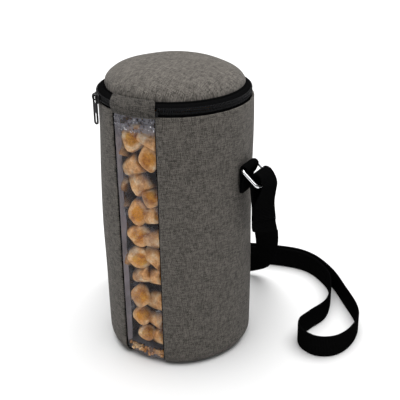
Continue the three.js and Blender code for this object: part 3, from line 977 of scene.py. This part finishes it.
def lid_point(share, angle, depth=0.0, swell=True):
    """A point of the lid's dome: share is 0 at the rim and 1 at the middle."""
    t = share * math.pi / 2
    r = (LID_RIM_RADIUS - depth) * math.cos(t) ** 0.92
    z = LID_RIM_HEIGHT + (LID_RISE - depth) * math.sin(t)
    if swell:
        turn = math.radians(angle)
        x, y = math.sin(turn) * (1.2 - share), -math.cos(turn) * (1.2 - share)
        puff = 0.7 * rough(x * 2.1, y * 2.1, 2.0) * smooth(share, 0.0, 0.2)
        near_seam = math.exp(-(((share - 0.1) / 0.09) ** 2))
        puff += 0.55 * near_seam * rough(math.sin(turn) * 11, math.cos(turn) * 11, 4.0)
        r += puff * math.cos(t)
        z += puff * math.sin(t)
    r -= 2.0 * max(0.0, leftward(angle)) ** 2 * (1 - smooth(share, 0.0, 0.3))
    lean = LID_LEAN * math.sin(t) ** 2
    return at(r, angle, z) + np.array([LEFT[0] * lean, LEFT[1] * lean, 0])


def inwards(place, inset, height):
    """The point straight towards the pouch's axis from a place, at another height."""
    share = 1 - inset / math.hypot(place[0], place[1])
    return np.array([place[0] * share, place[1] * share, height])


def lid_rings(depth, swell, rings, around, turn_in):
    rows = []
    for k in range(rings):
        share = 1 - 0.985 * k / (rings - 1) - 0.015
        rows.append([lid_point(share, 360 * j / around, depth, swell) for j in range(around)])
    for inset, drop in turn_in:
        rim = rows[rings - 1]
        rows.append([inwards(rim[j], inset, LID_RIM_HEIGHT - drop) for j in range(around)])
    return rows


def make_lid():
    around = 180
    rows = lid_rings(0.0, True, 52, around, [(0.15, 0.35), (0.6, 0.65), (1.4, 0.75), (4.0, 0.6)])
    top = LID_RIM_HEIGHT + LID_RISE
    # The lid's cloth is the lighter copy, painted light for the overhead light on its top.
    lid = grid("lid_cloth", rows, flat_weave(rows), LID_CLOTH_PAINTED_LIGHTER, wrap_v=True)
    close_middle(lid, around, top, LID_LEAN)
    settle(lid, "lid", "grey_fabric", "lid_panel")
    around = 120
    inner = lid_rings(LID_THICKNESS, False, 30, around, [(0.3, 0.9), (-1.0, 1.2), (-2.6, 1.1)])
    lining = grid("lid_lining_cloth", inner, flat_weave(inner), LINING_LOOK, wrap_v=True)
    close_middle(lining, around, top - LID_THICKNESS, LID_LEAN)
    settle(lining, "lid", "lining", "lid_lining", "lid_binding")
    upper, lower = (lid_rings(depth, False, 30, around, []) for depth in (1.7, 3.8))
    shell = upper + lower[::-1]
    foam = grid("lid_padding", shell, flat_weave(shell), FOAM_LOOK, wrap_u=True, wrap_v=True)
    settle(foam, "lid", "foam", "lid_foam")
    rim = [inwards(lid_point(0, 3 * k), -0.35, LID_RIM_HEIGHT - 0.35) for k in range(around)]
    piping = tube("lid_piping", rim, 0.75, TAPE_WEB, 10, closed=True)
    settle(piping, "lid", "black_tape")


make_lid()


# ---- zip


def make_tapes():
    lower = [
        (60.1, 221.0), (60.5, 220.6), (60.6, 220.0), (60.4, 219.5), (60.5, 219.0), (60.4, 218.4),
        (60.3, 217.6), (60.2, 216.8), (60.1, 213.0), (59.7, 213.0), (59.6, 217.2), (59.5, 218.3),
        (59.4, 221.0),
    ]
    upper = [
        (60.0, 223.6), (60.5, 223.9), (60.6, 224.5), (60.1, 225.0), (59.6, 225.35), (59.3, 225.75),
        (58.9, 226.2), (58.4, 226.5), (58.0, 226.7), (57.6, 227.0), (57.2, 227.3), (56.4, 227.4),
        (55.0, 227.0), (57.0, 226.0), (58.6, 225.0), (59.4, 223.6),
    ]
    for name, profile, node, body in (
        ("zip_tape_low", lower, "zip_tape_lower", "root"),
        ("zip_tape_high", upper, "zip_tape_upper", "lid"),
    ):
        tape = swept(name, profile, ZIP_HALF - 2, 362 - ZIP_HALF, 200, TAPE_WEB)
        settle(tape, body, "black_tape", node)
    band = [(59.3, 216.4), (59.3, 213.4), (58.2, 213.4), (57.4, 214.6), (57.4, 216.4), (58.4, 217.3)]
    binding = swept("mouth_tape", band, 21, 339, 160, TAPE_WEB)
    settle(binding, "root", "black_tape", "mouth_binding")


COIL_PITCH = 1.3
COIL_START = 19.2
COIL_END = 360 - COIL_START
COIL_DEPTH = 0.55
COIL_HALF_HEIGHT = 1.12
COIL_WIRE = 0.36
POINTS_PER_TURN = 9


def make_coil(name, node, body, middle, shift):
    turns = int(math.radians(COIL_END - COIL_START) * COIL_RADIUS / COIL_PITCH)
    last = turns * POINTS_PER_TURN
    path = []
    for k in range(last + 1):
        angle = COIL_START + (COIL_END - COIL_START) * (k / last)
        lean = 2 * math.pi * (k / POINTS_PER_TURN + shift)
        radius = COIL_RADIUS + COIL_DEPTH * math.cos(lean)
        path.append(at(radius, angle, middle + COIL_HALF_HEIGHT * math.sin(lean)))
    coil = tube(name, path, COIL_WIRE, COIL_LOOK, 5)
    settle(coil, body, "zip_coil", node)


def facing_out(angle, radius, height):
    """Places a plate drawn in x, y so that it stands upright and faces away from the pouch."""
    turn = Matrix.Rotation(math.radians(angle), 4, "Z")
    move = Matrix.Translation(Vector((0, -radius, height)) * MM)
    return turn @ move @ Matrix.Rotation(math.pi / 2, 4, "X")


def make_stops():
    for name, angle in (("zip_stop_start", -18.6), ("zip_stop_end", 18.6)):
        shape = rounded_rectangle(2.6, 4.4, 0.8)
        place = facing_out(angle, 61.1, SPLIT_HEIGHT - 2.2)
        stop = outline_plate(name + "_clip", shape, [], 1.3, 0.35, SLIDER_LOOK, place)
        settle(stop, "root", "zip_coil", name)


make_tapes()
make_coil("zip_teeth_low", "zip_coil_lower", "root", SPLIT_HEIGHT - 1.2, 0.0)
make_coil("zip_teeth_high", "zip_coil_upper", "lid", SPLIT_HEIGHT + 1.15, 0.5)
make_stops()

SHIELD_RADIUS = 63.4
REAR_RADIUS = 57.6
REAR_NARROWER = 0.52
POST_RADIUS = 60.5
BRIDGE_FOOT = 63.8
BRIDGE_LOW = 221.2
BRIDGE_HIGH = 226.1


def make_slider():
    side = [(-5.0, 1.6), (-4.6, 3.3), (-3.4, 4.2), (0.5, 4.4), (3.2, 3.6), (4.6, 2.2), (5.0, 0.8)]
    shield = [(x, -y) for x, y in side] + side[::-1]
    outline = spline(shield + shield[:1], 70)[:-1].tolist()
    narrow = [(x, y * REAR_NARROWER) for x, y in outline]
    post = rounded_rectangle(3.0, 5.4, 0.6)
    upright = Matrix.Rotation(math.pi / 2, 4, "X").inverted()
    plates = (
        ("shield", outline, 1.3, 0.4, facing_out(SLIDER_ANGLE, SHIELD_RADIUS, SPLIT_HEIGHT - 0.1)),
        ("rear", narrow, 1.1, 0.3, facing_out(SLIDER_ANGLE, REAR_RADIUS, SPLIT_HEIGHT - 0.55)),
        ("post", post, 0.7, 0.15, facing_out(SLIDER_ANGLE, POST_RADIUS, SPLIT_HEIGHT) @ upright),
    )
    parts = []
    for name, shape, thickness, bevel, place in plates:
        parts.append(outline_plate(name, shape, [], thickness, bevel, SLIDER_LOOK, place))
    arch = [
        (0, BRIDGE_HIGH), (1.6, BRIDGE_HIGH + 0.05), (2.8, BRIDGE_HIGH - 0.7), (3.2, BRIDGE_HIGH - 2.2),
        (3.15, BRIDGE_LOW + 1.8), (2.6, BRIDGE_LOW + 0.4), (1.4, BRIDGE_LOW), (0, BRIDGE_LOW),
    ]
    route = upright_route([(BRIDGE_FOOT + out, z) for out, z in arch], 40, SLIDER_ANGLE)
    parts.append(ribbon("bridge", route, 1.7, 0.95, SLIDER_LOOK, 0.4))
    settle(joined("zip_slider", parts, SLIDER_LOOK), "slider", "slider_metal", "slider_body")


PULL_PIVOT = (65.2, 224.6)
PULL_TWIST = 22.0
PULL_TOP = 0.6
PULL_LENGTH = 24.0
PULL_WIDTH = 4.8
SLOT_LENGTH = 5.3
EYE_LENGTH = 8.4
EYE_RIM = 1.2


def make_pull():
    """A plate that narrows at its middle, with a slot for the bridge and a long eye at its foot."""
    middle = PULL_TOP - PULL_LENGTH / 2
    outline = rounded_rectangle(PULL_WIDTH, PULL_LENGTH, 2.2, 10, middle)
    waisted = [(x * (0.78 + 0.22 * smooth(abs(y - middle), 3.0, 8.0)), y) for x, y in outline]
    slot = rounded_rectangle(2.4, SLOT_LENGTH, 0.6, 5, -PULL_TOP - SLOT_LENGTH / 2)
    eye = rounded_rectangle(2.3, EYE_LENGTH, 1.1, 8, PULL_TOP - PULL_LENGTH + EYE_RIM + EYE_LENGTH / 2)
    place = facing_out(SLIDER_ANGLE, *PULL_PIVOT) @ Matrix.Rotation(math.radians(PULL_TWIST), 4, "Y")
    pull = outline_plate("zip_pull", waisted, [slot[::-1], eye[::-1]], 1.3, 0.3, SLIDER_LOOK, place)
    settle(pull, "pull", "slider_metal", "slider_pull")


make_slider()
make_pull()


# ---- hinge patch


PATCH_ROWS = 40
PATCH_COLUMNS = 40
PATCH_EDGE_HALF = 0.12
PATCH_FULL_HALF = 0.55


def make_patch():
    """The patch's outer and inner faces in turn, from its sewn lower edge up to the lid's rim."""
    profile = [
        (63.0, 216.9), (63.3, 218.4), (63.4, 220.4), (63.2, 222.3),
        (62.5, 224.4), (61.0, 226.3), (59.1, 228.0), (57.4, 229.6),
    ]
    middle = spline(profile, PATCH_ROWS)
    upwards = range(PATCH_ROWS + 1)
    rows = []
    for face, order in ((1, upwards), (-1, upwards[::-1])):
        for k in order:
            share = k / PATCH_ROWS
            rounding = max(0.0, (share - 0.9) / 0.1) ** 2
            left = -15.8 - 6.2 * share + 1.5 * rounding
            right = 18.7 - 1.2 * share - 1.6 * rounding
            row = []
            for i in range(PATCH_COLUMNS + 1):
                across = i / PATCH_COLUMNS
                angle = left + (right - left) * across
                puff = 0.28 * rough(angle * 0.22, middle[k][1] * 0.3, 3.0)
                edge = min(across * 34, (1 - across) * 34, share * 16, (1 - share) * 16)
                half = PATCH_EDGE_HALF + (PATCH_FULL_HALF - PATCH_EDGE_HALF) * smooth(edge, 0.0, 1.0)
                row.append(at(middle[k][0] + puff + face * half, angle, middle[k][1]))
            rows.append(row)

    def weave(i, j):
        return (j * 0.95, min(i, 2 * PATCH_ROWS + 1 - i) * 0.4)

    patch = grid("hinge_patch", rows, weave, PATCH_CLOTH, wrap_u=True)
    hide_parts("hinge_patch_lower", "hinge_patch_upper")
    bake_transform(patch)


make_patch()


# ---- tabs and rings


TAB_ROLL = 3.1
RING_WIRE = 1.3
RING_WIDTH = 24.2
RING_HEIGHT = 17.6


def make_tab(side, angle):
    section = [(63.9, 148), (63.75, 152), (63.8, 157), (63.7, 162), (63.85, 168)]
    for turn in np.radians((150, 115, 80, 45, 10, -20)):
        section.append((RING_AXIS[0] + TAB_ROLL * math.cos(turn), RING_AXIS[1] + TAB_ROLL * math.sin(turn)))
    section += [(68.4, 163.2), (66.3, 159.8), (65.5, 155.0), (65.45, 151.5), (65.5, 148.3)]
    route = upright_route(section, 120, angle)
    tab = ribbon("tab_" + side, route, STRAP_WIDTH, WEBBING, STRAP_WEB, 1.2)
    settle(tab, "root", "webbing", "strap_tab_" + side)


def make_ring(side, angle, drop, body):
    turn = Matrix.Rotation(math.radians(angle), 4, "Z")
    place = turn @ Matrix.Translation(Vector((0, -RING_AXIS[0], RING_AXIS[1])))
    place = place @ Matrix.Rotation(math.radians(drop), 4, "X")
    outline = rounded_rectangle(RING_WIDTH, RING_HEIGHT, 2.4, 9, -RING_HEIGHT / 2)
    path = [tuple(place @ Vector((x, y, 0))) for x, y in outline]
    wire = even([*path, path[0]], 0.8)[:-1]
    ring = tube("ring_wire_" + side, wire, RING_WIRE, CHROME, 14, closed=True)
    settle(ring, body, "chrome", "ring_" + side)


for side, angle, drop, body in (
    ("right", TAB_ANGLE_RIGHT, 40.0, "right_ring"),
    ("left", TAB_ANGLE_LEFT, 82.0, "left_ring"),
):
    make_tab(side, angle)
    make_ring(side, angle, drop, body)


# ---- treats

# Each treat in the window: angle, height, distance from the axis, then its length, width and height
# across its cut face, and where that face looks: degrees right of straight out, degrees up, and roll.
WINDOW_TREATS = [
    (-6.5, 194.0, 49.0, 18, 16.5, 20, 22, 25, -15),
    (11.0, 196.5, 50.5, 18, 14, 14.5, 75, -20, 10),
    (8.5, 181.0, 49.5, 18, 14, 19, 18, 8, 12),
    (-6.0, 173.0, 50.0, 17, 17, 16, 80, 35, 0),
    (0.5, 159.5, 49.5, 19, 18, 16, 55, -40, 20),
    (9.5, 146.5, 50.0, 18, 15, 14, 25, 30, -25),
    (-4.0, 134.5, 50.0, 18, 16, 20, 25, 2, 0),
    (10.5, 133.0, 51.0, 17, 14, 13, 60, 20, 30),
    (-2.5, 114.5, 49.5, 18, 21, 16, 24, 6, -6),
    (-4.5, 95.0, 49.5, 18, 20, 17, 24, -6, 4),
    (12.0, 113.0, 50.5, 17, 14, 15, 80, 10, 0),
    (11.5, 96.0, 50.5, 18, 13, 17, 70, -25, 15),
    (-1.0, 78.0, 49.0, 18, 18, 14, 75, 25, 10),
    (12.5, 78.5, 50.5, 17, 13, 14, 55, 15, 25),
    (-5.0, 58.0, 49.5, 18, 16, 19, 20, 12, -10),
    (12.0, 55.0, 50.0, 18, 12, 18, 70, 5, 15),
    (-5.0, 38.5, 49.5, 18, 16, 16, 26, 22, 0),
    (10.5, 38.0, 50.0, 17, 13, 14, 65, -15, 10),
    (-0.5, 23.5, 49.5, 17, 15, 14, 28, 15, 10),
    (12.5, 22.5, 49.5, 17, 14, 15, 50, 25, -20),
]
LOOSE_TREATS = 300
CRUMBS = 95
SEED = 11

# Half of a treat's outline from its cut face to its middle: along its length, and outwards
TREAT_HALF = [
    (1.0, 0.0), (1.0, 0.3), (1.0, 0.55), (1.0, 0.78), (0.985, 0.9), (0.9, 0.985), (0.7, 1.02), (0.35, 1.04),
    (0.0, 1.05),
]
TREAT_OUTLINE = [(-along, out) for along, out in TREAT_HALF] + TREAT_HALF[-2::-1]


class Treats:
    """All the treats as one growing mesh, with the two attributes that their material reads."""

    def __init__(self):
        self.mesh = bmesh.new()
        self.core = self.mesh.verts.layers.float.new("core")
        self.outer = self.mesh.verts.layers.float.new("outer")

    def add(self, place, size, core, seed, sides):
        """One roll of dough round a filling. Its cut faces lie along the placed x axis."""
        length, width, height = size
        rings = []
        for along, out in TREAT_OUTLINE:
            ring = []
            for k in range(1 if out == 0 else sides):
                turn = 2 * math.pi * k / sides
                y, z = out * math.cos(turn), out * math.sin(turn)
                inside = (y / core[0]) ** 2 + (z / core[1]) ** 2
                filling = 0.0 if abs(along) < 0.9 else 1 - smooth(inside, 0.72, 1.12)
                lumps = 1 + 0.09 * rough(along * 1.3 + seed, y * 1.6, z * 1.6)
                lumps += 0.035 * rough(along * 5 + seed, y * 6, z * 6)
                end = along * (1 + 0.05 * rough(y * 3 + seed, z * 3, along))
                end -= 0.03 * filling * math.copysign(1, along)
                swell = (1 + 0.06 * math.cos(4 * turn)) * lumps
                vert = self.mesh.verts.new(
                    place @ Vector((end * length / 2, y * swell * width / 2, z * swell * height / 2)) * MM
                )
                vert[self.core] = filling
                # The outer attribute is the mask of the painted shade: a treat away from the film and below
                # the top is painted dark, for the shade deep inside the pouch.
                near_film = smooth(math.hypot(vert.co.x, vert.co.y) / MM, 50.5, 56.5)
                near_top = smooth(vert.co.z / MM, TREAT_LEVEL - 20, TREAT_LEVEL - 6)
                vert[self.outer] = max(near_film, near_top)
                ring.append(vert)
            rings.append(ring)
        for a, b in zip(rings, rings[1:]):
            for k in range(sides):
                n = (k + 1) % sides
                corners = (a[k % len(a)], b[k % len(b)], b[n % len(b)], a[n % len(a)])
                self.mesh.faces.new(dict.fromkeys(corners))


def treat_place(centre, look_right, look_up, roll, angle):
    out = math.radians(angle + look_right)
    up = math.radians(look_up)
    axis = Vector((math.sin(out) * math.cos(up), -math.cos(out) * math.cos(up), math.sin(up)))
    side = Vector((0, 0, 1)).cross(axis).normalized()
    top = axis.cross(side)
    turn = Matrix.Rotation(math.radians(roll), 3, axis)
    basis = Matrix((axis, turn @ side, turn @ top)).transposed().to_4x4()
    return Matrix.Translation(Vector(centre)) @ basis


TREAT_RADIUS = 8.2
FILL_RADIUS = 47.6
FILL_FLOOR = 13.5
HOLLOW_TOP = 150.0
HOLLOW_RADIUS = 31.0
HOLLOW_CENTRE = np.array([0.0, 8.0])


def settled(fixed, count, rng):
    """Centres of loose treats, pushed apart inside the pouch until they rest against each other.

    The middle of the pouch, which nothing shows, is left hollow.
    """
    top = TREAT_LEVEL - 7
    turn = rng.uniform(0, 2 * math.pi, count)
    reach = FILL_RADIUS * np.sqrt(rng.uniform(0, 1, count))
    height = rng.uniform(FILL_FLOOR, top, count)
    centres = np.stack([reach * np.sin(turn), -reach * np.cos(turn), height], axis=1)
    for _ in range(160):
        everything = np.vstack([centres, fixed])
        gap = centres[:, None, :] - everything[None, :, :]
        far = np.linalg.norm(gap, axis=2) + 1e-9
        push = np.clip(2 * TREAT_RADIUS - far, 0, None)
        np.fill_diagonal(push, 0)
        centres += (gap / far[:, :, None] * push[:, :, None]).sum(axis=1) * 0.32
        out = np.hypot(centres[:, 0], centres[:, 1])
        centres[:, :2] *= np.minimum(1, FILL_RADIUS / np.maximum(out, 1e-6))[:, None]
        away = centres[:, :2] - HOLLOW_CENTRE
        size = np.linalg.norm(away, axis=1)
        hidden = (centres[:, 2] < HOLLOW_TOP) & (size < HOLLOW_RADIUS)
        centres[hidden, :2] = HOLLOW_CENTRE + (away / (size + 1e-6)[:, None] * HOLLOW_RADIUS)[hidden]
        centres[:, 2] = np.clip(centres[:, 2], FILL_FLOOR, top)
    return centres


def make_treats():
    rng = np.random.default_rng(SEED)
    treats = Treats()
    fixed = []
    for n, (angle, height, r, length, width, tall, right, up, roll) in enumerate(WINDOW_TREATS):
        centre = at(r - 1.6, angle - 1.5, height)
        fixed.append(centre)
        place = treat_place(centre, right, up, roll, angle)
        core = (0.8, 0.58) if n % 3 else (0.66, 0.7)
        treats.add(place, (length, width * 1.05, tall * 1.05), core, 3.7 * n, 40)
    for n, centre in enumerate(settled(fixed, LOOSE_TREATS, rng)):
        place = treat_place(centre, rng.uniform(0, 360), rng.uniform(-60, 60), rng.uniform(0, 360), 0)
        size = (rng.uniform(15, 18), rng.uniform(14, 16.5), rng.uniform(13.5, 16))
        treats.add(place, size, (0.74, 0.62), 91.3 + 1.9 * n, 14)
    for n in range(CRUMBS):
        angle, r = rng.uniform(-19, 19), rng.uniform(50, 57.0)
        centre = at(r, angle, 5.6 + rng.uniform(0, 4.5) * (r / 57) ** 3)
        place = treat_place(centre, rng.uniform(0, 360), rng.uniform(-70, 70), 0, 0)
        treats.add(place, tuple(rng.uniform(1.2, 3.6, 3)), (0.35, 0.35), 7.7 * n, 7)
    bmesh.ops.recalc_face_normals(treats.mesh, faces=treats.mesh.faces)
    mesh = bpy.data.meshes.new("treats")
    treats.mesh.to_mesh(mesh)
    treats.mesh.free()
    shade_smooth(mesh)
    settle(new_object("treats", mesh, BISCUIT_LOOK), "root", "biscuit")


make_treats()


# ---- nodes that stay, floor and light


for holder in bpy.data.objects["base_board"].material_slots:
    holder.material = BOARD_LOOK


FLOOR_HALF = 6.0
SUN_STRENGTH = 4.8
SUN_WIDTH = 76
SUN_TILT = (-5, 1)
SKY_STRENGTH = 0.33


def make_floor():
    look = Look("studio_floor", Roughness=0.7, Specular_IOR_Level=0.2)
    cloud = look.noise(look.position(), 1.5, 2.0)
    look.finish(look.ramp(cloud, (0.2, 0.69), (0.8, 0.71)))
    mesh = bpy.data.meshes.new("floor")
    corners = [(-1, -1), (1, -1), (1, 1), (-1, 1)]
    mesh.from_pydata([(x * FLOOR_HALF, y * FLOOR_HALF, 0) for x, y in corners], [], [(0, 1, 2, 3)])
    floor = new_object("floor", mesh, look.material)


def make_light():
    scene = bpy.context.scene
    scene.view_settings.view_transform = "Standard"
    world = bpy.data.worlds.new("studio")
    world.use_nodes = True
    background = world.node_tree.nodes["Background"]
    background.inputs[0].default_value = (1, 1, 1, 1)
    background.inputs[1].default_value = SKY_STRENGTH
    scene.world = world
    data = bpy.data.lights.new("overhead", "SUN")
    data.energy = SUN_STRENGTH
    data.angle = math.radians(SUN_WIDTH)
    sun = bpy.data.objects.new("overhead", data)
    sun.rotation_euler = (*(math.radians(tilt) for tilt in SUN_TILT), 0)
    scene.collection.objects.link(sun)


make_floor()
make_light()
